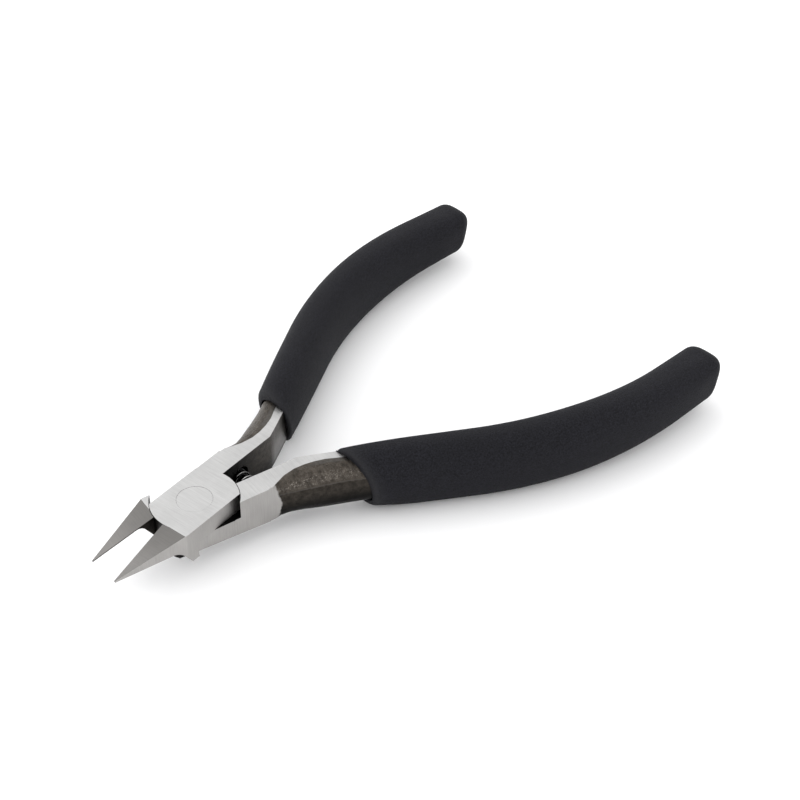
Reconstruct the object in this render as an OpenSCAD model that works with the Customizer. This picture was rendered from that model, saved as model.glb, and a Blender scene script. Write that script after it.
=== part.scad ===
// Sprue nippers: two lap-jointed levers on a flush rivet, a coil spring between
// the arms, and a soft sleeve on each handle.
// Millimetres. The pivot axis is Z, +X points to the jaw tips, and z = 0 is the
// ground underside of the head. The levers are drawn spread, as the spring holds them.

/* [Head] */
// Thickness of the ground head over both lap plates
head_t = 7.8; // [7.4:0.1:8.6]
// Height of the lap plane between the two plates
lap_z = 4.2; // [3.8:0.1:4.6]
// Width over the head's two parallel sides when the jaws are shut
head_w = 10.6; // [10:0.1:11.4]
// Radius of the upper lap plate's round ends about the pivot
upper_r = 7.9; // [7.4:0.1:8.2]
// Radius of the lower lap plate's round ends about the pivot
lower_r = 7.2; // [6.8:0.1:7.6]
// Angle each lever is opened from the shut position
open_deg = 8.9; // [5:0.1:10]
// Gap between the straight inner faces of the arms when shut
arm_gap = 1.2; // [1:0.1:2]

/* [Jaws] */
// Distance from the pivot axis to the jaw tips
jaw_reach = 20; // [18:0.5:22]
// Distance from the pivot axis to the ridge where the jaw tops start to slope
ridge_x = 7.75; // [7.4:0.05:8]
// Height of the tips' top edge
tip_z = 3.8; // [3.4:0.1:4.4]
// Width of one jaw at its tip
tip_w = 0.25; // [0.2:0.05:0.6]
// Height of the blunt land along the cutting edge
land = 0.2; // [0.1:0.05:0.4]
// Angle of the bevel under each cutting edge
bevel_deg = 28.5; // [20:0.5:35]
// Radius of the fillet at the root of that bevel
root_fillet = 1.3; // [0.6:0.1:2]

/* [Pivot] */
// Radius of the rivet's shank
rivet_r = 2.6; // [2:0.1:3]
// Radius of the rivet's countersunk heads at the ground faces
rivet_head_r = 3.2; // [3:0.1:3.6]
// Depth of each countersunk head
rivet_head_h = 0.6; // [0.4:0.1:0.9]

/* [Spring] */
// Distance from the pivot axis back to the spring
spring_x = 12.4; // [11.8:0.1:14]
// Outer radius of the spring's coil
spring_r = 1.6; // [1.3:0.05:1.7]
// Diameter of the spring's wire
wire_d = 0.5; // [0.4:0.05:0.6]
// Turns in the spring
spring_turns = 7; // [5:0.5:8]
// Depth of each spring pocket in the arms
pocket_depth = 2; // [1.5:0.1:2.5]

/* [Handles] */
// Height of the sleeves' middle plane
handle_z = 3.45; // [3.3:0.05:4.1]
// Heading of the arms behind the knee, outward from the tool's axis, when shut
arm_deg = 23; // [20:0.1:26]
// Bend radius of the handles' bow
bow_r = 77; // [70:1:90]
// Turn of the handles through the bow
bow_deg = 32.4; // [28:0.1:34]
// Length of the straight stretch from the arm to the bow
front_len = 24.2; // [22:0.1:28]
// Length of the straight stretch behind the bow, to the sleeve's end
rear_len = 12.2; // [10:0.1:18]
// Length of arm that shows behind the knee's end, at its middle
mouth_s = 2.2; // [1:0.1:3]
// Slant of a sleeve's mouth, its outer side set further back
mouth_deg = 34; // [30:1:38]
// Half height of a sleeve at its mouth
mouth_half_h = 6.2; // [6:0.1:7]
// Half height of a sleeve along its level underside, from behind the mouth to the middle of the bow
bow_half_h = 7; // [6.6:0.1:7.4]
// Half height of a sleeve at its rear end
end_half_h = 5; // [4.8:0.1:6]
// Half width of a sleeve at its mouth
mouth_half_w = 4.1; // [3.7:0.1:4.6]
// Half width of a sleeve at the middle of the bow
bow_half_w = 4.55; // [4.4:0.05:5.4]
// Half width of a sleeve at its rear end
end_half_w = 4.8; // [4.4:0.1:5.2]

/* [Hidden] */
$fn = 96;

// Running gaps: between the lap faces, round the lap plates' ends, and in the rivet's bore
lap_gap = 0.03;
end_gap = 0.12;
rivet_gap = 0.03;
press = 0.005;
mid_z = head_t / 2;
// The recesses for the plates are cut this much deeper than the lap faces
recess_relief = 0.015;
side_y = head_w / 2;
past = 1;
reach = 40;
// Round surfaces start at this angle, clear of the head's straight edges
seam = 60;

// Slope of the jaw tops, from the ridge down to the tips
jaw_run = jaw_reach - ridge_x;
top_deg = atan((head_t - tip_z) / jaw_run);
// The bevel's rear wall: where it meets the cutting edge, and its two angles
wall_x = 10.4;
wall_yaw = 7.4;
wall_open = 104;

// The underside's edges are bevelled, more towards the front
edge_bevel = 0.8;
edge_pitch = 2.9;
block_rear_x = -12;
block_step = 0.1;
pocket_gap = 0.4;

// A D-shaped arm between head and sleeve: [x, inner y, outer y, flat strip's outer y]
ARM = [
    [-11, 0.62, 5.18, 5.05],
    [-13, 0.62, 5.18, 4.95],
    [-14.3, 0.62, 5.3, 4.3],
    [-16, 0.62, 5.8, 3.5],
    [-18.5, 0.62, 6.6, 2.95],
    [-20.6, 0.62, 7.3, 3.0],
    [-22.5, 1.35, 7.85, 3.3],
    [-24.5, 2.15, 8.5, 3.85]
];
arm_inset = 0.02;
arm_h = mid_z - arm_inset;
strip_w = 1.75;
// The arm's underside sinks below the head's outside its flat face from here, and rises
// again in the sleeve
sag_x = -14.3;
arm_sag = 1.2;
sag_fade = 20;
round_steps = 7;
lower_corner = 0.5;

// The handle's centreline, from the knee's end to the sleeve's rear end
KNEE_END = [-26.8, 6.2];
bow_len = bow_r * bow_deg * PI / 180;
handle_len = front_len + bow_len + rear_len;
tang_len = handle_len - 9;
tang_half_w = [2.87, 2.6, 2.1];
tang_half_h = [arm_h, 3.9, 3.4];

// The sleeve: its mouth slants back outward and down, its end slants forward and down,
// and its section is squarer towards the end
mouth_drop = 0.22;
end_drop = 0.22;
lean_fade = 16;
mouth_taper_len = 12;
squareness = [2.2, 2.3, 2.6];
sleeve_sides = 32;
sleeve_fit = 0.12;
end_round = 3.1;
socket_end_gap = 0.5;

function mix(a, b, t) = a + (b - a) * t;
function ease(t) = t <= 0 ? 0 : t >= 1 ? 1 : t * t * (3 - 2 * t);
// A value that runs smoothly through three levels over t = 0 .. 1
function swell(levels, t) =
    t < 0.5 ? mix(levels[0], levels[1], sin(180 * t)) : mix(levels[1], levels[2], ease(2 * t - 1));

// Heading and place of the handle's centreline at a distance s behind the knee's end
function heading(s) = arm_deg - bow_deg * min(1, max(0, (s - front_len) / bow_len));
function along(a) = [-cos(a), sin(a)];
function across(a) = [sin(a), cos(a)];
BOW_START = KNEE_END + front_len * along(arm_deg);
BOW_CENTRE = BOW_START - bow_r * across(arm_deg);
BOW_END = BOW_CENTRE + bow_r * across(arm_deg - bow_deg);
function centreline(s) =
    s < front_len ? KNEE_END + s * along(arm_deg)
    : s < front_len + bow_len ? BOW_CENTRE + bow_r * across(heading(s))
    : BOW_END + (s - front_len - bow_len) * along(heading(s));
function handle_point(s, w, z) =
    let (p = centreline(s) + w * across(heading(s))) [p.x, p.y, z];

// D section as [across 0 .. 1 from the flat face, height -1 .. 1], flat strip width given as a
// share: a quarter round above, and a squarer corner below
function d_section(strip) = concat(
    [for (k = [0:round_steps]) let (a = 90 * k / round_steps)
        [strip + (1 - strip) * sin(a), cos(a)]],
    [for (k = [1:round_steps]) let (a = 90 * k / round_steps)
        [strip + (1 - strip) * pow(cos(a), lower_corner), -pow(sin(a), lower_corner)]],
    [[0, -1], [0, 0], [0, 1]]
);
// Rings of the visible arm, at constant x, and of the tang in the sleeve, square to the handle
function section_z(p, strip, half_h, sag) =
    mid_z + (p.y < 0 ? half_h + sag * min(1, p.x / strip) : half_h) * p.y;
function arm_ring(row) =
    let (
        sag = arm_sag * ease((sag_x - row[0]) / (sag_x - ARM[len(ARM) - 1][0])),
        strip = (row[3] - row[1]) / (row[2] - row[1])
    ) [for (p = d_section(strip))
        [row[0], mix(row[1], row[2], p.x), section_z(p, strip, arm_h, sag)]];
function tang_ring(s, grow) =
    let (
        t = s / tang_len,
        w = swell(tang_half_w, t) + grow,
        h = swell(tang_half_h, t) + grow,
        sag = arm_sag * (1 - ease(s / sag_fade)),
        strip = strip_w / (2 * w)
    ) [for (p = d_section(strip)) handle_point(s, mix(-w, w, p.x), section_z(p, strip, h, sag))];

// Skin over a list of rings of equal size, closed at both ends by fans about their centres
function middle(ring) = [for (p = ring) 1] * ring / len(ring);
module loft(rings) {
    sides = len(rings[0]);
    count = len(rings);
    first = sides * count;
    polyhedron(
        points = concat([for (ring = rings) each ring], [middle(rings[0]), middle(rings[count - 1])]),
        faces = concat(
            [for (j = [0:sides - 1]) [first, j, (j + 1) % sides]],
            [for (i = [0:count - 2], j = [0:sides - 1], half = [0, 1])
                let (a = i * sides + j, b = i * sides + (j + 1) % sides)
                half == 0 ? [a, a + sides, b] : [b, a + sides, b + sides]],
            [for (j = [first - sides:first - 1])
                [first + 1, j + 1 == first ? first - sides : j + 1, j]]
        ),
        convexity = 6
    );
}

// One arm with its tang, on the +Y side of a shut tool
module arm() {
    tang_steps = 14;
    loft(concat(
        [for (row = ARM) arm_ring(row)],
        [for (k = [0:tang_steps]) tang_ring(tang_len * k / tang_steps, 0)]
    ));
}

// Plan of a lap plate: a disc about the pivot cut to the head's width
module plate_plan(r) {
    intersection() {
        rotate(seam) circle(r = r);
        square([4 * r, head_w], center = true);
    }
}

// Section of the cut that forms the bevel, its rear wall and the fillet between them
module bevel_profile() {
    arc_steps = 8;
    centre = root_fillet * [1 / tan(wall_open / 2), -1];
    fillet = [for (k = [0:arc_steps]) let (a = 90 + (180 - wall_open) * k / arc_steps)
        centre + root_fillet * [cos(a), sin(a)]];
    polygon(concat([[reach, 0]], fillet, [reach * [cos(wall_open), -sin(wall_open)], [reach, -reach]]));
}

// One jaw on the +Y side of a shut tool, with the full-thickness shoulder behind it
module jaw() {
    wall_z = head_t - (wall_x - ridge_x) * tan(top_deg) - land;
    difference() {
        linear_extrude(head_t) polygon([
            [lower_r / 2, 0.01], [jaw_reach, 0.01], [jaw_reach, tip_w],
            [ridge_x - 0.25, side_y], [lower_r / 2, side_y]
        ]);
        translate([ridge_x, -past, head_t])
            rotate([0, top_deg, 0])
            cube([reach, head_w, head_t]);
        translate([wall_x, 0, wall_z])
            rotate([0, top_deg, 0])
            rotate([-bevel_deg, 0, 0])
            rotate([0, 0, wall_yaw])
            rotate([90, 0, 0])
            linear_extrude(reach, center = true) bevel_profile();
    }
}

// Bevel along the underside's edge on one side of the head
module edge_cut(side) {
    translate([0, side * side_y, edge_bevel])
        rotate([0, -edge_pitch, 0])
        rotate([-135 * side, 0, 0])
        translate([block_rear_x, -head_t / 2, 0])
        cube([jaw_reach - block_rear_x, head_t, head_t]);
}

// The full-thickness block behind the pivot, on the +Y side, from which the arm grows
module arm_block() {
    block_y = arm_gap / 2;
    translate([block_rear_x, block_y, 0]) cube([-block_rear_x, side_y - block_step - block_y, head_t]);
}

// Blind hole in the inner face of the arm on the +Y side, for the spring's end
module spring_pocket() {
    translate([-spring_x, -past, mid_z])
        rotate([-90, 0, 0])
        rotate(seam)
        cylinder(r = spring_r + pocket_gap, h = past + arm_gap / 2 + pocket_depth);
}

// A whole lever, shut: its jaw is on one side and its handle on the other,
// and its lap plate is in the head's upper or lower half
module lever(upper) {
    side = upper ? 1 : -1;
    plate_z = upper ? lap_z + lap_gap / 2 : 0;
    plate_t = (upper ? head_t - lap_z : lap_z) - lap_gap / 2;
    recess_h = past + head_t - plate_t + recess_relief;
    recess_z = upper ? -past : plate_t - recess_relief;
    difference() {
        union() {
            translate([0, 0, plate_z]) linear_extrude(plate_t) plate_plan(upper ? upper_r : lower_r);
            mirror([0, upper ? 0 : 1, 0]) jaw();
            mirror([0, upper ? 1 : 0, 0]) arm_block();
            mirror([0, upper ? 1 : 0, 0]) arm();
        }
        translate([0, 0, recess_z])
            rotate(seam)
            cylinder(r = (upper ? lower_r : upper_r) + end_gap, h = recess_h);
        rivet_hole(upper);
        mirror([0, upper ? 1 : 0, 0]) spring_pocket();
        edge_cut(1);
        edge_cut(-1);
    }
}

// The bore and countersinks for the rivet, open at both faces: a running fit above and a
// press fit below. The countersinks' cones run on past the faces.
module rivet_hole(upper) {
    r = rivet_r + (upper ? rivet_gap : -press);
    flare_r = r + (rivet_head_r - rivet_r) * (rivet_head_h + past) / rivet_head_h;
    rotate(seam) rotate_extrude() polygon([
        [0, -past], [flare_r, -past], [r, rivet_head_h],
        [r, head_t - rivet_head_h], [flare_r, head_t + past], [0, head_t + past]
    ]);
}

module upper_lever() {
    color([0.8, 0.8, 0.79]) rotate(open_deg) lever(true);
}

module lower_lever() {
    color([0.7, 0.69, 0.67]) rotate(-open_deg) lever(false);
}

module pivot_rivet() {
    color([0.82, 0.82, 0.82]) rotate_extrude() polygon([
        [0, 0], [rivet_head_r, 0], [rivet_r, rivet_head_h],
        [rivet_r, head_t - rivet_head_h], [rivet_head_r, head_t], [0, head_t]
    ]);
}

// Round wire wound along Y between the floors of the two pockets
module return_spring() {
    sides = 8;
    steps = 20;
    coil_r = spring_r - wire_d / 2;
    half = spring_x * sin(open_deg) + (arm_gap / 2 + pocket_depth) * cos(open_deg) - wire_d;
    axis_x = -spring_x * cos(open_deg) + (arm_gap / 2 + pocket_depth) * sin(open_deg);
    color([0.35, 0.35, 0.36])
        translate([axis_x, 0, mid_z])
        loft([for (k = [0:steps * spring_turns])
            let (turn = 360 * k / steps, y = mix(-half, half, k / (steps * spring_turns)))
            [for (j = [0:sides - 1])
                let (a = 360 * j / sides, r = coil_r + wire_d / 2 * cos(a))
                [r * cos(turn), y + wire_d / 2 * sin(a), r * sin(turn)]]
        ]);
}

// Ring of the sleeve: a rounded oval that leans with the mouth near the front and with
// the end near the rear
function rounded(v, power) = sign(v) * pow(abs(v), 2 / power);
function sleeve_ring(s, inset) =
    let (
        t = s / handle_len,
        half_w = swell([mouth_half_w, bow_half_w, end_half_w], t) - inset,
        taper = pow(1 - min(1, (s - mouth_s) / mouth_taper_len), 2),
        half_h = swell([bow_half_h, bow_half_h, end_half_h], t)
            - (bow_half_h - mouth_half_h) * taper - inset,
        power = swell(squareness, t),
        lean = 1 - ease((s - mouth_s) / lean_fade),
        end_lean = ease(1 - (handle_len - s) / lean_fade)
    ) [for (j = [0:sleeve_sides - 1])
        let (
            a = -360 * j / sleeve_sides,
            w = half_w * rounded(cos(a), power),
            h = half_h * rounded(sin(a), power),
            shift = lean * (w * tan(mouth_deg) - h * mouth_drop) + end_lean * h * end_drop
        ) handle_point(s + shift, w, handle_z + h)];

// A sleeve on the +Y side of a shut tool
module sleeve() {
    body_steps = 26;
    dome_steps = 5;
    socket_steps = 14;
    body_len = handle_len - end_round - mouth_s;
    difference() {
        loft(concat(
            [for (k = [0:body_steps]) sleeve_ring(mouth_s + body_len * k / body_steps, 0)],
            [for (k = [1:dome_steps]) let (a = 80 * k / dome_steps)
                sleeve_ring(handle_len - end_round + end_round * sin(a), end_round * (1 - cos(a)))]
        ));
        loft([for (k = [-1:socket_steps])
            tang_ring(tang_len * k / socket_steps + (k == socket_steps ? socket_end_gap : 0), sleeve_fit)]);
    }
}

module upper_grip() {
    color([0.18, 0.18, 0.19]) rotate(open_deg) mirror([0, 1, 0]) sleeve();
}

module lower_grip() {
    color([0.18, 0.18, 0.19]) rotate(-open_deg) sleeve();
}

upper_lever();
lower_lever();
pivot_rivet();
return_spring();
upper_grip();
lower_grip();
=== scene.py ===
import math

import bmesh
import bpy
import numpy as np
from mathutils import Matrix, Vector

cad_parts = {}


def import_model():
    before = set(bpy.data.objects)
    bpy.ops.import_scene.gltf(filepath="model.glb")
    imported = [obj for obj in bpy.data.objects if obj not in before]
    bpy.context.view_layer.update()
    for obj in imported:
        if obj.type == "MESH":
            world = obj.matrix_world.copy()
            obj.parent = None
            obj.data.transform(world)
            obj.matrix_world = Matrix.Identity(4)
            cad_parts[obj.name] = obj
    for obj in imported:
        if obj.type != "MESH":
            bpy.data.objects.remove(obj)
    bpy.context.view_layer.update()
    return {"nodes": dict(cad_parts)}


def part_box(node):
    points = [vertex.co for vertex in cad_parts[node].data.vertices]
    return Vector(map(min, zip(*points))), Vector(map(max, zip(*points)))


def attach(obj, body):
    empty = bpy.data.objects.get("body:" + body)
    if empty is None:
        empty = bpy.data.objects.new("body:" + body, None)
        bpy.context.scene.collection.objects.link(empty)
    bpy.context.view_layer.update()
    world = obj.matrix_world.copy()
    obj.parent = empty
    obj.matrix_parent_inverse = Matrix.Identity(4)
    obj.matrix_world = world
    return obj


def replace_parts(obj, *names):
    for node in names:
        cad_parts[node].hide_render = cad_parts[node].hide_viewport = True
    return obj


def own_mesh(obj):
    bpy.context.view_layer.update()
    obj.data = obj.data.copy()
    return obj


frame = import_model()

MM = 0.001
FLOOR_Z = min(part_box("upper_grip")[0].z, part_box("lower_grip")[0].z)
HEAD_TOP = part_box("upper_lever")[1].z / MM

# Each lever is turned this far from shut. In a lever's own frame (shut, in millimetres)
# its arm is on the +Y side and its jaw on the -Y side.
OPEN = math.radians(8.9)
LEVERS = {
    "upper_lever": (OPEN, -1, "upper_half"),
    "lower_lever": (-OPEN, 1, "lower_half"),
}

# Places in that frame. The jaw is in front of JAW_X and the ground block in front of
# BLOCK_REAR_X; the grinding of the underside and of the outer face ends at GROUND_REAR_X.
# PARTING_Z is the height of the forging's parting line on the arm's outer face.
JAW_X, BLOCK_REAR_X, GROUND_REAR_X = 7.0, -12.6, -14.4
PARTING_Z = 5.3


def to_shut(points, turn, side):
    """Points or normals of the open tool, in a lever's own frame."""
    c, s = math.cos(turn), math.sin(turn)
    x = points[:, 0] * c + points[:, 1] * s
    y = -points[:, 0] * s + points[:, 1] * c
    return np.stack([x, y * side, points[:, 2]], 1)


def to_open(points, turn, side):
    """Points of a lever's own frame, back on the open tool."""
    c, s = math.cos(turn), math.sin(turn)
    y = points[:, 1] * side
    return np.stack([points[:, 0] * c - y * s, points[:, 0] * s + y * c, points[:, 2]], 1)


def new_object(name, mesh, body, material):
    """A visual piece with one material, on one of the moving bodies."""
    ob = bpy.data.objects.new(name, mesh)
    bpy.context.scene.collection.objects.link(ob)
    mesh.materials.clear()
    mesh.materials.append(material)
    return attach(ob, body)


# ---------------------------------------------------------------- materials

class Graph:
    """Short helpers for one node material."""

    SOCKETS = {
        "base": "Base Color", "metal": "Metallic", "rough": "Roughness", "specular": "Specular IOR Level",
    }

    def __init__(self, name):
        self.mat = bpy.data.materials.new(name)
        self.mat.use_nodes = True
        self.nodes = self.mat.node_tree.nodes
        self.links = self.mat.node_tree.links
        self.bsdf = self.nodes["Principled BSDF"]

    def put(self, socket, value):
        if isinstance(value, bpy.types.NodeSocket):
            self.links.new(value, socket)
        else:
            socket.default_value = value

    def attribute(self, name, out="Fac"):
        n = self.nodes.new("ShaderNodeAttribute")
        n.attribute_name = name
        return n.outputs[out]

    def scaled(self, vector, scale):
        n = self.nodes.new("ShaderNodeVectorMath")
        n.operation = "MULTIPLY"
        self.put(n.inputs[0], vector)
        n.inputs[1].default_value = scale
        return n.outputs[0]

    def noise(self, vector, scale, detail=2.0, rough=0.5):
        n = self.nodes.new("ShaderNodeTexNoise")
        self.put(n.inputs["Vector"], vector)
        n.inputs["Scale"].default_value = scale
        n.inputs["Detail"].default_value = detail
        n.inputs["Roughness"].default_value = rough
        return n.outputs["Fac"]

    def range(self, value, low, high, to_low=0.0, to_high=1.0):
        n = self.nodes.new("ShaderNodeMapRange")
        self.put(n.inputs["Value"], value)
        for key, v in zip(("From Min", "From Max", "To Min", "To Max"), (low, high, to_low, to_high)):
            n.inputs[key].default_value = v
        return n.outputs["Result"]

    def math(self, op, a, b=0.0):
        n = self.nodes.new("ShaderNodeMath")
        n.operation = op
        self.put(n.inputs[0], a)
        self.put(n.inputs[1], b)
        return n.outputs[0]

    def add(self, a, b):
        return self.math("ADD", a, b)

    def times(self, product, *factors):
        for factor in factors:
            product = self.math("MULTIPLY", product, factor)
        return product

    def split(self, vector):
        n = self.nodes.new("ShaderNodeSeparateXYZ")
        self.put(n.inputs[0], vector)
        return n.outputs[0], n.outputs[1], n.outputs[2]

    def mix(self, factor, a, b, blend="MIX"):
        """Mixes two colours."""
        n = self.nodes.new("ShaderNodeMix")
        n.data_type = "RGBA"
        n.blend_type = blend
        self.put(n.inputs["Factor"], factor)
        self.put(n.inputs["A"], a)
        self.put(n.inputs["B"], b)
        return n.outputs["Result"]

    def tint(self, colour, by):
        """Multiplies a colour by a value."""
        return self.mix(1.0, colour, by, "MULTIPLY")

    def blend(self, factor, a, b):
        """Mixes two values."""
        n = self.nodes.new("ShaderNodeMix")
        self.put(n.inputs["Factor"], factor)
        self.put(n.inputs["A"], a)
        self.put(n.inputs["B"], b)
        return n.outputs["Result"]

    def bump(self, height, strength, distance):
        n = self.nodes.new("ShaderNodeBump")
        n.inputs["Strength"].default_value = strength
        n.inputs["Distance"].default_value = distance
        self.put(n.inputs["Height"], height)
        self.links.new(n.outputs["Normal"], self.bsdf.inputs["Normal"])

    def set(self, **values):
        for key, v in values.items():
            self.put(self.bsdf.inputs[self.SOCKETS[key]], v)


def grey(level, warm=0.0):
    return (level * (1 + warm), level, level * (1 - warm), 1.0)


GROUND_TONE = grey(0.41, 0.006)


def grinding(g, place):
    """Fine parallel grinding lines: the lines themselves, then their tone and roughness."""
    lines = g.noise(g.scaled(place, (1.0, 0.035, 0.03)), 5.5, 4.0, 0.7)
    return lines, g.range(lines, 0.3, 0.7, 0.86, 1.10), g.range(lines, 0.3, 0.7, 0.36, 0.52)


def lever_steel():
    g = Graph("forged_tool_steel")
    shut = g.attribute("shut", "Vector")
    x, y, z = g.split(shut)
    outer = g.attribute("outer")
    inner = g.math("SUBTRACT", 1.0, outer)
    lines, line_tone, line_rough = grinding(g, shut)
    cloud = g.noise(shut, 0.22, 3.0)
    grit = g.noise(shut, 7.0, 3.0, 0.65)
    blotch = g.noise(shut, 1.1, 4.0, 0.6)

    # Ground steel: each face has its own tone, under the grinding lines. The blade faces, and a little the
    # side faces, are painted darker than the top: painted shade for the darker light they reflect
    blade = g.mix(g.range(x, 8.5, 16.0), grey(0.118, 0.040), grey(0.172, 0.035))
    tone = g.mix(g.attribute("blade"), GROUND_TONE, blade)
    tone = g.mix(g.attribute("side"), tone, grey(0.355, 0.030))
    tone = g.tint(tone, g.range(cloud, 0.3, 0.7, 0.94, 1.05))
    ground = g.tint(tone, line_tone)

    # Where the oxide is. On the arm's outer face its front edge is a shallow, wavy V.
    v_point_z, v_slope, v_soft = 3.2, 0.22, 0.15
    from_point = g.math("ABSOLUTE", g.math("SUBTRACT", z, v_point_z))
    v_line = g.add(x, g.times(from_point, -v_slope))
    wavy = g.add(v_line, g.range(blotch, 0.3, 0.7, -0.16, 0.16))
    behind = g.range(wavy, GROUND_REAR_X - v_soft, GROUND_REAR_X + v_soft, 1.0, 0.0)
    mask = g.math("MAXIMUM", g.attribute("oxide"), g.times(outer, behind))
    # The wall behind the bevel is ground where it runs out at the jaw's outer side
    near_side = g.range(g.math("ABSOLUTE", y), 2.6, 3.6)
    mask = g.math("SUBTRACT", mask, g.times(g.attribute("wall"), near_side))

    # Oxide left from forging: brownish black, with paler grit in it
    oxide = g.mix(g.range(blotch, 0.35, 0.65), grey(0.026, 0.17), grey(0.058, 0.16))
    oxide = g.mix(g.range(grit, 0.58, 0.74, 0.0, 0.35), oxide, grey(0.18, 0.08))
    # Painted shade: it is darker below the parting line and darkest near the underside, and a little lighter
    # above the line
    above = g.times(g.range(z, PARTING_Z - 0.15, PARTING_Z + 0.2), outer)
    outer_painted_shade = g.blend(above, g.range(z, 1.4, 3.6, 0.08, 0.62), 1.12)
    inner_painted_shade = g.range(z, 1.0, 3.6, 0.22, 0.90)
    oxide = g.tint(oxide, g.blend(outer, inner_painted_shade, outer_painted_shade))
    # The parting line is a low, slightly uneven ridge, with a painted highlight along it
    edge = g.add(z, g.range(blotch, 0.3, 0.7, -0.12, 0.12))
    rise = g.range(edge, PARTING_Z - 0.2, PARTING_Z)
    fall = g.range(edge, PARTING_Z, PARTING_Z + 0.2, 1.0, 0.0)
    parting = g.times(rise, fall, outer)
    oxide = g.mix(g.times(parting, 0.30), oxide, grey(0.13, 0.10))
    # Painted glints: small bright highlights in a band above it
    glint_band = g.times(g.range(z, 5.5, 6.3, 0.10, 1.0), g.range(z, 6.6, 7.2, 1.0, 0.15), above)
    glint_grains = g.range(g.noise(shut, 8.0, 2.0, 0.6), 0.50, 0.68)
    glint_drifts = g.range(g.noise(shut, 1.7, 2.0, 0.6), 0.42, 0.60, 0.1, 1.0)
    oxide = g.mix(g.times(glint_grains, glint_drifts, glint_band), oxide, grey(0.30, 0.11))
    # Painted shade darkens the faces round the joint and the inner faces near the spring
    oxide = g.tint(oxide, g.range(g.attribute("recess_shade"), 0.0, 1.0, 1.0, 0.15))
    # Painted shade in the gap round the spring
    spring_gap_shade = g.times(inner, g.range(x, -19.5, -13.0, 0.0, 0.8))
    oxide = g.tint(oxide, g.range(spring_gap_shade, 0.0, 1.0, 1.0, 0.1))
    # A painted reflection makes the inner faces paler behind the knee, but not near the underside
    sheen_x, sheen_z = g.range(x, -20.6, -22.6, 0.0, 0.5), g.range(z, 5.5, 3.0, 0.2, 1.0)
    knee_sheen = g.times(sheen_x, sheen_z, g.range(z, 0.0, 0.8), inner)
    oxide = g.mix(knee_sheen, oxide, grey(0.30, 0.02))

    g.set(
        base=g.mix(mask, ground, oxide),
        metal=g.range(mask, 0.0, 1.0, 1.0, 0.85),
        rough=g.blend(mask, line_rough, g.range(grit, 0.3, 0.7, 0.50, 0.32)),
        specular=0.2,
    )
    # The oxide's surface is uneven, most of all above the parting line
    uneven = g.add(g.times(g.noise(shut, 3.2, 3.0, 0.6), 2.4), g.times(blotch, 2.0))
    uneven = g.times(uneven, g.range(above, 0.0, 1.0, 0.5, 3.0))
    g.bump(g.blend(mask, lines, g.add(uneven, parting)), 0.5, 0.00005)
    return g.mat


def sleeve_vinyl():
    g = Graph("soft_vinyl")
    own = g.attribute("own", "Vector")
    grain = g.noise(own, 3.6, 4.0, 0.7)
    pores = g.noise(own, 0.9)
    cloud = g.noise(own, 0.10)
    hollow, crest = (0.0012, 0.0012, 0.0021, 1), (0.0175, 0.0175, 0.0225, 1)
    faded, rim_sheen = (0.0070, 0.0070, 0.0082, 1), (0.030, 0.030, 0.032, 1)
    base = g.mix(g.range(grain, 0.35, 0.65), hollow, crest)
    base = g.mix(g.range(cloud, 0.3, 0.7, 0.0, 0.25), base, faded)
    # A painted sheen makes the rounded lip and end lighter
    base = g.mix(g.times(g.attribute("rim_sheen"), 0.5), base, rim_sheen)
    g.set(base=base, rough=g.range(grain, 0.3, 0.7, 0.62, 0.80), specular=0.12)
    g.bump(g.add(grain, g.times(pores, 0.6)), 0.8, 0.00016)
    return g.mat


def spring_steel():
    g = Graph("drawn_spring_wire")
    own = g.attribute("own", "Vector")
    fine = g.noise(g.scaled(own, (1.0, 4.0, 1.0)), 3.0, 3.0, 0.6)
    # Dark wire, with a painted highlight in a line along the coil's outside
    outward = g.split(own)[2]
    wire_highlight = g.times(g.range(outward, 0.80, 0.97), g.range(fine, 0.35, 0.6, 0.3, 1.0))
    g.set(
        base=g.mix(wire_highlight, grey(0.018, -0.02), grey(0.60, 0.01)),
        metal=1.0,
        rough=g.range(fine, 0.3, 0.7, 0.16, 0.30),
    )
    g.bump(fine, 0.2, 0.00002)
    return g.mat


def rivet_steel():
    g = Graph("ground_rivet_steel")
    lines, line_tone, line_rough = grinding(g, g.attribute("own", "Vector"))
    g.set(base=g.tint(GROUND_TONE, line_tone), metal=1.0, rough=line_rough)
    g.bump(lines, 0.35, 0.00004)
    return g.mat


# ---------------------------------------------------------------- steel parts

def paint(mesh, name, values, kind="FLOAT"):
    """Stores a value or a vector for each point of a mesh, for its material to read."""
    layer = mesh.attributes.new(name, kind, "POINT")
    flat = np.asarray(values, np.float32).ravel()
    layer.data.foreach_set("vector" if kind == "FLOAT_VECTOR" else "value", flat)


def shade(mesh, degrees):
    """Smooth shading, with edges sharper than this left as edges."""
    mesh.polygons.foreach_set("use_smooth", [True] * len(mesh.polygons))
    mesh.set_sharp_from_angle(angle=math.radians(degrees))


def coords(mesh):
    co = np.empty(len(mesh.vertices) * 3)
    mesh.vertices.foreach_get("co", co)
    return co.reshape(-1, 3) / MM


def clean_copy(node):
    """The CAD node's mesh, welded."""
    bm = bmesh.new()
    bm.from_mesh(frame["nodes"][node].data)
    bmesh.ops.remove_doubles(bm, verts=bm.verts, dist=0.004 * MM)
    bmesh.ops.dissolve_degenerate(bm, edges=bm.edges, dist=0.002 * MM)
    bm.normal_update()
    return bm


def flat_patches(bm):
    """Groups of faces that lie in one flat patch, each with its normal and centre."""
    flat = math.cos(math.radians(0.6))
    least_area = 1e-15
    seen = set()
    for first in bm.faces:
        if first in seen:
            continue
        seen.add(first)
        members = [first]
        for f in members:
            for other in (g for e in f.edges for g in e.link_faces if g not in seen):
                if first.normal.dot(other.normal) > flat:
                    seen.add(other)
                    members.append(other)
        areas = [f.calc_area() for f in members]
        centre = sum((f.calc_center_median() * a for f, a in zip(members, areas)), Vector())
        yield members, first.normal, centre / max(sum(areas), least_area)


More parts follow.
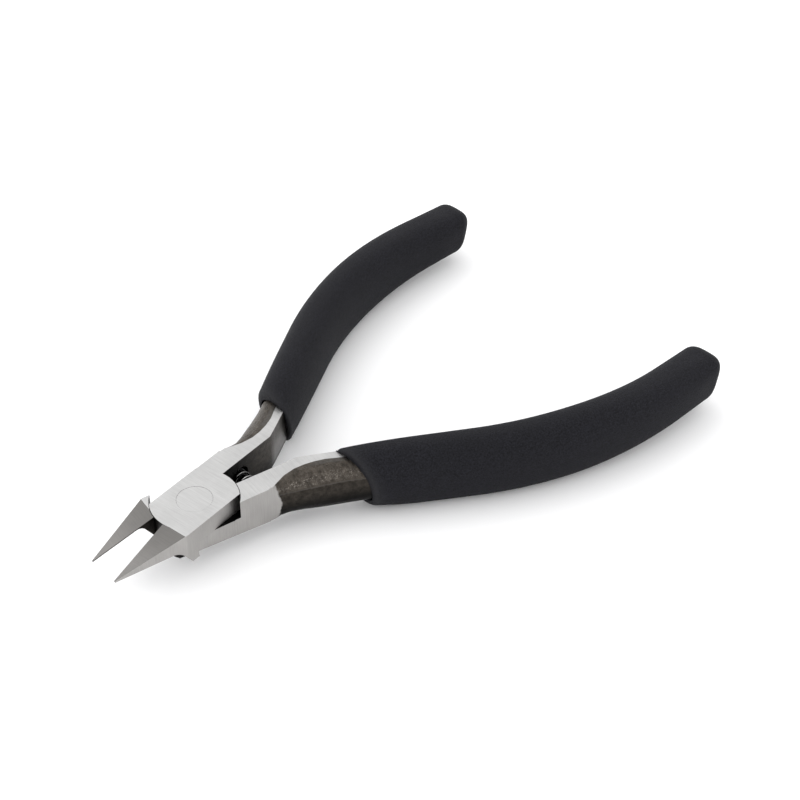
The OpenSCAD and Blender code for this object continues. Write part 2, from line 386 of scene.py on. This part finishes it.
def solid(name, points, faces):
    """A closed mesh from points in millimetres, its normals outward."""
    mesh = bpy.data.meshes.new(name)
    mesh.from_pydata([Vector(p * MM) for p in points], [], faces)
    bm = bmesh.new()
    bm.from_mesh(mesh)
    bmesh.ops.recalc_face_normals(bm, faces=bm.faces)
    bm.to_mesh(mesh)
    bm.free()
    return mesh


def finished_mesh(bm, name):
    mesh = bpy.data.meshes.new(name)
    bm.to_mesh(mesh)
    bm.free()
    if "custom_normal" in mesh.attributes:
        mesh.attributes.remove(mesh.attributes["custom_normal"])
    return mesh


# A lever's finishes, each as its values for the face layers oxide, blade, side and outer
OXIDE, GROUND, BLADE, SIDE, OUTER = (1, 0, 0, 0), (0, 0, 0, 0), (0, 1, 0, 0), (0, 0, 1, 0), (0, 0, 1, 1)

# A face that is closer than this to the head's top or bottom is not one of its walls
SKIN = 0.05


def face_finish(normal, centre):
    """Which finish a face of a lever has."""
    x, y, z = centre
    nx, ny, nz = normal
    top = nz > 0.99 and z > HEAD_TOP - SKIN
    underside = nz < -0.99 and abs(z) < 0.03 and x > GROUND_REAR_X
    if top or underside:
        return GROUND
    jaw_top = x > JAW_X and nz > 0.9
    jaw_bevel = x > JAW_X and nz < -0.5 and nx < 0.5
    if jaw_top or jaw_bevel:
        return BLADE
    block_side = x > BLOCK_REAR_X and abs(y) > 4.4 and abs(ny) > 0.85
    jaw_side = x > JAW_X and y < 0 and ny < -0.85
    lower_bevel = BLOCK_REAR_X < x < JAW_X and abs(y) > 3 and z < 1.2 and nz < -0.2
    plate_rim = -6 < x < -4.5 and abs(y) > 5.2
    if block_side or jaw_side or lower_bevel or plate_rim:
        return SIDE
    if x < BLOCK_REAR_X and ny > 0.1:
        return OUTER
    return OXIDE


def recess_shade(normal, centre):
    """How much painted shade darkens a face: the joint's hidden walls and the bevel's root."""
    x, y, z = centre
    nx, ny, nz = normal
    if x > JAW_X and nx > 0.5 and abs(ny) < 0.95:
        return 0.6
    if -12.3 < x < JAW_X and SKIN < z < HEAD_TOP - SKIN and nz > -0.2:
        return 1.0
    return 0.0


def soften_knee(mesh, shut):
    """The arm's inner face runs round the knee without an edge."""
    knee_rear, knee_front, tolerance = -23, -20, 0.1
    sharp = mesh.attributes["sharp_edge"].data
    for edge in mesh.edges:
        a, b = shut[edge.vertices[0]], shut[edge.vertices[1]]
        at_knee = knee_rear < min(a[0], b[0]) and max(a[0], b[0]) < knee_front
        upright = abs(a[0] - b[0]) < tolerance and abs(a[1] - b[1]) < tolerance
        if at_knee and upright:
            sharp[edge.index].value = False


def forged_lever(node, material):
    """The CAD lever itself, with a finish for each of its faces."""
    turn, side, body = LEVERS[node]
    bm = clean_copy(node)
    layers = [bm.faces.layers.float.new(n) for n in ("oxide", "blade", "side", "outer", "recess_shade", "wall")]
    for members, n, c in flat_patches(bm):
        centre = to_shut(np.array([c]) / MM, turn, side)[0]
        normal = to_shut(np.array([n]), turn, side)[0]
        finish = face_finish(normal, centre)
        oxide = finish[0]
        wall = float(centre[0] > JAW_X and normal[0] > 0.2 and oxide)
        for f in members:
            for layer, value in zip(layers, (*finish, recess_shade(normal, centre) * oxide, wall)):
                f[layer] = value
    mesh = finished_mesh(bm, node + "_forged")
    shut = to_shut(coords(mesh), turn, side)
    paint(mesh, "shut", shut, "FLOAT_VECTOR")
    shade(mesh, 12)
    soften_knee(mesh, shut)
    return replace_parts(new_object(node + "_forged", mesh, body, material), node)


def flush_rivet(material):
    """A turned rivet: ground flush at both ends, countersunk, with a straight shank."""
    sides, top = 96, HEAD_TOP
    head_r, head_h, shank_r, rounding = 3.2, 0.6, 2.6, 0.03
    # Radius and height, from near the middle of the lower face to half way up the shank
    outline = [(0.8, 0), (2.0, 0), (head_r - rounding, 0), (head_r, 0.02), (head_r - rounding, 0.06)]
    outline += [(shank_r, head_h), (shank_r, top / 2)]
    outline += [(r, top - z) for r, z in reversed(outline[:-1])]
    a = 2 * math.pi * np.arange(sides) / sides
    points = np.array([(r * c, r * s, z) for r, z in outline for c, s in zip(np.cos(a), np.sin(a))])
    faces = [
        (i * sides + j, i * sides + (j + 1) % sides, (i + 1) * sides + (j + 1) % sides, (i + 1) * sides + j)
        for i in range(len(outline) - 1) for j in range(sides)
    ]
    last = (len(outline) - 1) * sides
    faces += [tuple(range(sides))[::-1], tuple(range(last, last + sides))]
    mesh = solid("flush_rivet", points, faces)
    # It was ground together with the upper lever, so its lines run the same way
    turn, side, _ = LEVERS["upper_lever"]
    paint(mesh, "own", to_shut(points, turn, side), "FLOAT_VECTOR")
    shade(mesh, 12)
    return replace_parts(new_object("flush_rivet", mesh, "lower_half", material), "pivot_rivet")


# ---------------------------------------------------------------- sleeves

# The handle's centreline on a shut lever, in plan: straight from the knee's end, a bow,
# and straight again
KNEE_END = np.array([-26.8, 6.2])
ARM_TURN = math.radians(23)
BOW_R, BOW_TURN = 77.0, math.radians(32.4)
REAR_TURN = ARM_TURN - BOW_TURN
FRONT, REAR = 24.2, 12.2
BOW = BOW_R * BOW_TURN
LENGTH = FRONT + BOW + REAR
HANDLE_Z = 3.45

# The sleeve's half width, half height and squareness at the front, half way and at the rear
HALF_W, HALF_H, SQUARENESS = (4.1, 4.55, 4.8), (7.0, 7.0, 5.0), (2.2, 2.3, 2.6)
# Its mouth is MOUTH behind the knee's end. The half height is less by MOUTH_TAPER there, and
# has all of its size TAPER_LENGTH farther back.
MOUTH, MOUTH_TAPER, TAPER_LENGTH = 2.2, 0.8, 12.0
# Going outward the mouth lies farther back, and going down too. Going down the end lies
# farther forward. Both slants fade out over SLANT_FADE.
OUTWARD_SLANT, DOWN_SLANT, SLANT_FADE = math.tan(math.radians(34)), 0.22, 16.0

# The tang's D section: its size, the width of its flat strip and its middle's height.
# At the knee's end its underside sags by SAG, and SAG_FADE behind it no more.
TANG_HALF_W, TANG_HALF_H, STRIP_W, TANG_Z = 2.87, 3.88, 1.75, 3.9
SAG, SAG_FADE = 1.2, 20.0


def smooth(t):
    t = np.clip(t, 0, 1)
    return t * t * (3 - 2 * t)


def swell(levels, t):
    """Runs smoothly through three levels, at t = 0, 0.5 and 1."""
    a, b, c = levels
    first = a + (b - a) * np.sin(math.pi * np.clip(t, 0, 0.5))
    return np.where(t < 0.5, first, b + (c - b) * smooth(2 * t - 1))


def along(a):
    return np.stack([-np.cos(a), np.sin(a)], -1)


def across(a):
    return np.stack([np.sin(a), np.cos(a)], -1)


def handle_point(s, w, z):
    """A point s along the handle's centreline and w outward from it, on a shut lever."""
    centre = KNEE_END + FRONT * along(ARM_TURN) - BOW_R * across(ARM_TURN)
    bow_end = centre + BOW_R * across(REAR_TURN)
    heading = ARM_TURN - BOW_TURN * np.clip((s - FRONT) / BOW, 0, 1)
    s1 = s[..., None]
    front = KNEE_END + s1 * along(ARM_TURN)
    bow = centre + BOW_R * across(heading)
    rear = bow_end + (s1 - FRONT - BOW) * along(REAR_TURN)
    line = np.where(s1 < FRONT, front, np.where(s1 < FRONT + BOW, bow, rear))
    p = line + w[..., None] * across(heading)
    return np.concatenate([p, z[..., None]], -1)


def mouth_shift(w, h):
    """How much farther back the mouth's plane lies at w outward and h up."""
    return w * OUTWARD_SLANT - h * DOWN_SLANT


def sleeve_ring(s, inset, angles, pinch=0.0):
    """The sleeve's outside at s, as places along, outward from and above the centreline.

    Pinching it draws in the middles of its four sides.
    """
    t = s / LENGTH
    taper = MOUTH_TAPER * (1 - np.clip((s - MOUTH) / TAPER_LENGTH, 0, 1)) ** 2
    half_w = swell(HALF_W, t) - inset
    half_h = swell(HALF_H, t) - taper - inset
    power = swell(SQUARENESS, t)
    c, d = np.cos(angles), np.sin(angles)
    grow = 1 - pinch * np.cos(2 * angles) ** 2
    w = half_w * np.sign(c) * np.abs(c) ** (2 / power) * grow
    h = half_h * np.sign(d) * np.abs(d) ** (2 / power) * grow
    front = 1 - smooth((s - MOUTH) / SLANT_FADE)
    rear = smooth(1 - (LENGTH - s) / SLANT_FADE)
    return s + front * mouth_shift(w, h) + rear * h * DOWN_SLANT, w, h


def tang_outline(sag):
    """The tang's D section at the mouth, dense, as w and h from the sleeve's middle."""
    a = np.linspace(0, math.pi / 2, 40)
    strip = STRIP_W / (2 * TANG_HALF_W)
    upper = np.stack([strip + (1 - strip) * np.sin(a), np.cos(a)], 1)
    lower = np.stack([strip + (1 - strip) * np.sqrt(np.cos(a)), -np.sqrt(np.sin(a))], 1)[1:]
    under = np.stack([np.linspace(strip, 0, 12), -np.ones(12)], 1)[1:]
    face = np.stack([np.zeros(40), np.linspace(-1, 1, 40)], 1)[1:]
    over = np.stack([np.linspace(0, strip, 12), np.ones(12)], 1)[1:-1]
    p = np.concatenate([upper, lower, under, face, over])
    down = np.where(p[:, 1] < 0, sag * np.minimum(1, p[:, 0] / strip), 0)
    w = TANG_HALF_W * (2 * p[:, 0] - 1)
    return np.stack([w, (TANG_HALF_H + down) * p[:, 1] + TANG_Z - HANDLE_Z], 1)


def opening_ring(s, room, angles):
    """Inside the mouth: the tang's own outline, with a little room round it."""
    line = tang_outline(SAG * (1 - smooth(s / SAG_FADE)))
    line = line * (1 + room / np.hypot(line[:, 0], line[:, 1]))[:, None]
    bearing, reach = np.arctan2(line[:, 1], line[:, 0]), np.hypot(line[:, 0], line[:, 1])
    order = np.argsort(bearing)
    wanted = np.angle(np.exp(1j * angles))
    r = np.interp(wanted, bearing[order], reach[order], period=2 * math.pi)
    w, h = r * np.cos(angles), r * np.sin(angles)
    return s + mouth_shift(w, h), w, h


def moulded_sleeve(name, node, lever, material):
    """A sleeve: an opening round the tang, a rounded lip, the body and a rounded, dished end."""
    turn, side, body = LEVERS[lever]
    sides = 80
    angles = -2 * math.pi * np.arange(sides) / sides
    lip, lip_glow, mouth_room = 0.75, 1.6, 0.34
    end_round, end_arc = 3.1, 84
    # The pinch grows over this length before the end's rounding, and a little more over that
    end_pinch, pinch_length, more_pinch = 0.05, 6, 0.03
    body_from, body_to = MOUTH + lip, LENGTH - end_round
    # Rings of the outside, and how much painted sheen each gets on the rounded edges
    rings, rim_sheen = [], []

    def add(ring, sheen_value):
        rings.append(np.stack(ring, -1))
        rim_sheen.append(sheen_value)

    def ring_from(s, inset, pinch=0.0):
        return sleeve_ring(np.float64(s), inset, angles, pinch)

    # The opening, from its depth out to the mouth, with the room round the tang
    for depth, room in ((9.0, 0.05), (5.0, 0.06), (3.0, 0.08), (1.2, 0.10), (0.5, 0.14), (0.15, 0.22)):
        add(opening_ring(MOUTH + depth, room, angles), 0.0)
    # The mouth's flat face, then its lip
    inner = np.stack(opening_ring(MOUTH, mouth_room, angles), -1)
    outer = np.stack(ring_from(MOUTH, lip), -1)
    for k in (0.0, 0.35, 0.7):
        add(tuple((inner * (1 - k) + outer * k).T), 0.35 * k)
    for k in range(8):
        a = math.radians(90 * k / 7)
        add(ring_from(MOUTH + lip * (1 - math.cos(a)), lip * (1 - math.sin(a))), 0.5 + 0.5 * math.sin(2 * a))
    # The body
    steps = 84
    for k in range(1, steps + 1):
        s = body_from + (body_to - body_from) * k / steps
        near_lip = math.exp(-((s - MOUTH) / lip_glow) ** 2)
        add(ring_from(s, 0.0, end_pinch * smooth((s - body_to) / pinch_length + 1)), 0.7 * near_lip)
    # The rounded end, then its shallow dish
    for k in range(1, 12):
        a = math.radians(end_arc * k / 11)
        last_s, last_inset = body_to + end_round * math.sin(a), end_round * (1 - math.cos(a))
        add(ring_from(last_s, last_inset, end_pinch + more_pinch * math.sin(a)), 0.8 * math.sin(a))
    last = np.stack(ring_from(last_s, last_inset, end_pinch + more_pinch), -1)
    for k, dish in ((0.35, 0.10), (0.6, 0.22), (0.85, 0.30)):
        middle = last.mean(0)
        ring = middle + (last - middle) * (1 - k)
        ring[:, 0] -= dish
        add(tuple(ring.T), 0.5 * (1 - k))

    grid = np.array(rings)
    points = handle_point(grid[..., 0], grid[..., 1], HANDLE_Z + grid[..., 2]).reshape(-1, 3)
    count = len(grid)
    faces = []
    for i in range(count - 1):
        for j in range(sides):
            a, b = i * sides + j, i * sides + (j + 1) % sides
            quad = (a, a + sides, b + sides, b)
            faces.append(quad if side > 0 else quad[::-1])
    cap = tuple(range((count - 1) * sides, count * sides))
    socket = tuple(range(sides))
    faces += [cap[::-1], socket] if side > 0 else [cap, socket[::-1]]
    mesh = solid(name, to_open(points, turn, side), faces)
    paint(mesh, "own", grid.reshape(-1, 3), "FLOAT_VECTOR")
    paint(mesh, "rim_sheen", np.repeat(rim_sheen, sides))
    shade(mesh, 50)
    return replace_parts(new_object(name, mesh, body, material), node)


# ---------------------------------------------------------------- spring

def coil_spring(material):
    """Round wire wound along Y between the floors of the two pockets."""
    wire_r, coil_r, turns = 0.25, 1.35, 7.0
    # On a shut lever: how far the pocket is behind the pivot, and its floor from the middle
    pocket_x, half_gap, pocket_depth = 12.4, 0.6, 2.0
    pocket_y = half_gap + pocket_depth
    half = pocket_x * math.sin(OPEN) + pocket_y * math.cos(OPEN) - 2 * wire_r
    axis_x = -pocket_x * math.cos(OPEN) + pocket_y * math.sin(OPEN)
    steps, sides = 36, 12
    total = int(steps * turns)
    k = np.arange(total + 1) / total
    # The end turns are wound close and the middle ones open
    lead = k - 0.35 * np.sin(2 * math.pi * k) / (2 * math.pi)
    y = -half + 2 * half * lead
    turn = 2 * math.pi * turns * k
    a = 2 * math.pi * np.arange(sides) / sides
    r = coil_r + wire_r * np.cos(a)
    points = np.stack([
        axis_x + r[None, :] * np.cos(turn)[:, None],
        y[:, None] + wire_r * np.sin(a)[None, :],
        HEAD_TOP / 2 + r[None, :] * np.sin(turn)[:, None],
    ], -1)
    faces = [
        (i * sides + j, (i + 1) * sides + j, (i + 1) * sides + (j + 1) % sides, i * sides + (j + 1) % sides)
        for i in range(total) for j in range(sides)
    ]
    faces += [tuple(range(sides)), tuple(range(total * sides, (total + 1) * sides))[::-1]]
    mesh = solid("coil_spring", points.reshape(-1, 3), faces)
    # The turn along the wire, the angle round it, and how far outward that faces
    own = np.stack([np.repeat(turn, sides), np.tile(a, total + 1), np.tile(np.cos(a), total + 1)], -1)
    paint(mesh, "own", own, "FLOAT_VECTOR")
    shade(mesh, 40)
    ob = new_object("coil_spring", mesh, "upper_half", material)
    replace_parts(ob, "return_spring")
    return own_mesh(ob)


steel = lever_steel()
vinyl = sleeve_vinyl()
forged_lever("upper_lever", steel)
forged_lever("lower_lever", steel)
flush_rivet(rivet_steel())
moulded_sleeve("upper_sleeve", "upper_grip", "upper_lever", vinyl)
moulded_sleeve("lower_sleeve", "lower_grip", "lower_lever", vinyl)
coil_spring(spring_steel())


# ---------------------------------------------------------------- stage

def floor():
    mesh = bpy.data.meshes.new("floor")
    half = 2.0
    corners = [(-half, -half, FLOOR_Z), (half, -half, FLOOR_Z), (half, half, FLOOR_Z), (-half, half, FLOOR_Z)]
    mesh.from_pydata(corners, [], [(0, 1, 2, 3)])
    g = Graph("pale_floor")
    g.set(base=(0.92, 0.92, 0.925, 1), rough=0.9, specular=0.1)
    mesh.materials.append(g.mat)
    ob = bpy.data.objects.new("floor", mesh)
    bpy.context.scene.collection.objects.link(ob)


def area_light(name, direction, distance, size, power):
    """A soft round light in this direction from the tool, aimed at it."""
    aim = Vector((-0.035, 0, 0))
    light = bpy.data.lights.new(name, "AREA")
    light.shape = "DISK"
    light.size = size
    light.energy = power
    ob = bpy.data.objects.new(name, light)
    bpy.context.scene.collection.objects.link(ob)
    d = Vector(direction).normalized()
    ob.location = aim + d * distance
    ob.rotation_euler = d.to_track_quat("Z", "Y").to_euler()


def world(level):
    w = bpy.data.worlds.new("studio")
    bpy.context.scene.world = w
    w.use_nodes = True
    w.node_tree.nodes["Background"].inputs["Color"].default_value = (1, 1, 1, 1)
    w.node_tree.nodes["Background"].inputs["Strength"].default_value = level


def camera():
    """Looks at the tool from beyond its jaws, on the lower lever's handle side, 40 degrees up."""
    target = Vector((-54.20, -5.02, -3.55)) * MM
    distance = 315.5 * MM
    # The azimuth is measured from -Y towards +X
    az, el, roll = math.radians(136.10), math.radians(39.84), math.radians(0.705)
    back = Vector((math.sin(az) * math.cos(el), -math.cos(az) * math.cos(el), math.sin(el)))
    right = Vector((0, 0, 1)).cross(back).normalized()
    up = back.cross(right)
    r = math.cos(roll) * right + math.sin(roll) * up
    u = math.cos(roll) * up - math.sin(roll) * right
    data = bpy.data.cameras.new("camera")
    data.sensor_width = 36
    data.lens = 71.47
    data.clip_start = 0.01
    ob = bpy.data.objects.new("camera", data)
    bpy.context.scene.collection.objects.link(ob)
    turned = Matrix((r, u, back)).transposed().to_4x4()
    ob.matrix_world = Matrix.Translation(target + back * distance) @ turned
    bpy.context.scene.camera = ob


floor()
camera()
world(1.32)
area_light("key", direction=(0.20, -0.75, 0.75), distance=0.9, size=1.3, power=3.4)
bpy.context.scene.view_settings.view_transform = "Standard"
